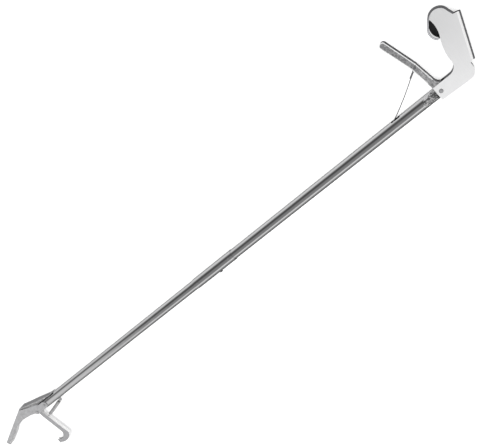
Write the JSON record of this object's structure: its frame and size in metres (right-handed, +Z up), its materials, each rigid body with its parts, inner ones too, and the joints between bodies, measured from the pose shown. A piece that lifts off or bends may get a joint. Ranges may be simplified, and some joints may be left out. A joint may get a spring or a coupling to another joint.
{
  "type": "long-reach pick-up tongs",
  "caption": "Long-reach pick-up tongs: squeezing the trigger of the pistol grip pulls a cable along a straight tube and swings a hooked jaw up against a fixed cupped jaw.",
  "frame": {"origin": "centre of the bounding box, at the level of the surface the tool lies on", "axes": "+X runs along the tube from the jaws to the handle, +Y points to the trigger side, +Z points up through the thin direction of the tool"},
  "size_m": [1.3218, 0.2118, 0.0268],
  "materials": {
    "tube_metal": "bright drawn, lightly polished",
    "handle_metal": "satin formed sheet",
    "trigger_metal": "brushed, slightly mottled",
    "jaw_metal": "satin plated sheet",
    "fastener": "plain plated",
    "spring_steel": "drawn wire",
    "cable_steel": "twisted wire rope",
    "ferrule_metal": "dull crimped",
    "guide_nylon": "moulded"
  },
  "bodies": {
    "frame": {"tube_lower": "tube_metal", "tube_upper": "tube_metal", "joint_sleeve": "tube_metal", "sleeve_rivets": "fastener", "sleeve_screw": "fastener", "lower_guide": "guide_nylon", "upper_guide": "guide_nylon", "handle_shell": "handle_metal", "crown_strip": "handle_metal", "grip_strip": "handle_metal", "base_strip": "handle_metal", "handle_pin": "fastener", "fixed_jaw": "jaw_metal", "jaw_rivets": "fastener", "strap_rivet": "fastener", "pivot_pin": "fastener", "pivot_spacers": "fastener", "spring_lug": "jaw_metal"},
    "trigger": {"trigger": "trigger_metal", "cable_anchor_pin": "fastener"},
    "upper_run": {"cable_loop": "cable_steel", "upper_ferrule": "ferrule_metal", "pull_cable": "cable_steel"},
    "cable": {"inner_cable": "cable_steel"},
    "jaw": {"moving_jaw": "jaw_metal", "crank_pin": "fastener"},
    "lower_run": {"cable_eye": "ferrule_metal", "lower_ferrule": "ferrule_metal", "lower_cable": "cable_steel"},
    "spring": {"return_spring": "spring_steel"},
    "spring_hook": {"spring_hook": "spring_steel"}
  },
  "joints": [
    {"name": "trigger_pivot", "type": "hinge", "parent": "frame", "child": "trigger", "pos_m": [0.56799, -0.01095, 0.0128], "axis": [0, 0, -1], "range_deg": [0, 17.5]},
    {"name": "jaw_pivot", "type": "hinge", "parent": "frame", "child": "jaw", "pos_m": [-0.51801, -0.01435, 0.0128], "axis": [0, 0, -1], "range_deg": [0, 80], "stiffness_Nm_per_rad": 0.12, "springref_deg": -51.57},
    {"name": "cable_slide", "type": "slide", "parent": "frame", "child": "cable", "axis": [1, 0, 0], "range_m": [0, 0.0147]},
    {"name": "upper_run_pivot", "type": "hinge", "parent": "trigger", "child": "upper_run", "pos_m": [0.55949, 0.04225, 0.0128], "axis": [0, 0, 1], "range_deg": [0, 12.97]},
    {"name": "spring_pivot", "type": "hinge", "parent": "frame", "child": "spring", "pos_m": [-0.45201, -0.02445, 0.0128], "axis": [0, 0, -1], "range_deg": [0, 11.74]},
    {"name": "spring_stretch", "type": "slide", "parent": "spring", "child": "spring_hook", "axis": [-0.9763, -0.2166, 0], "range_m": [0, 0.0275], "deforming": ["return_spring", "spring_hook"]},
    {"name": "lower_run_pivot", "type": "hinge", "parent": "jaw", "child": "lower_run", "pos_m": [-0.52515, -0.00585, 0.0128], "axis": [0, 0, 1], "range_deg": [0, 80]}
  ],
  "couplings": [
    {"joint": "jaw_pivot", "follows": "trigger_pivot", "ratio": 4.5714},
    {"joint": "lower_run_pivot", "follows": "trigger_pivot", "ratio": 4.5714},
    {"joint": "spring_pivot", "follows": "trigger_pivot", "ratio": 0.6699},
    {"joint": "spring_stretch", "follows": "trigger_pivot", "m_per_rad": 0.08986},
    {"joint": "upper_run_pivot", "follows": "trigger_pivot", "ratio": 0.7383},
    {"joint": "cable_slide", "follows": "trigger_pivot", "m_per_rad": 0.04767}
  ]
}
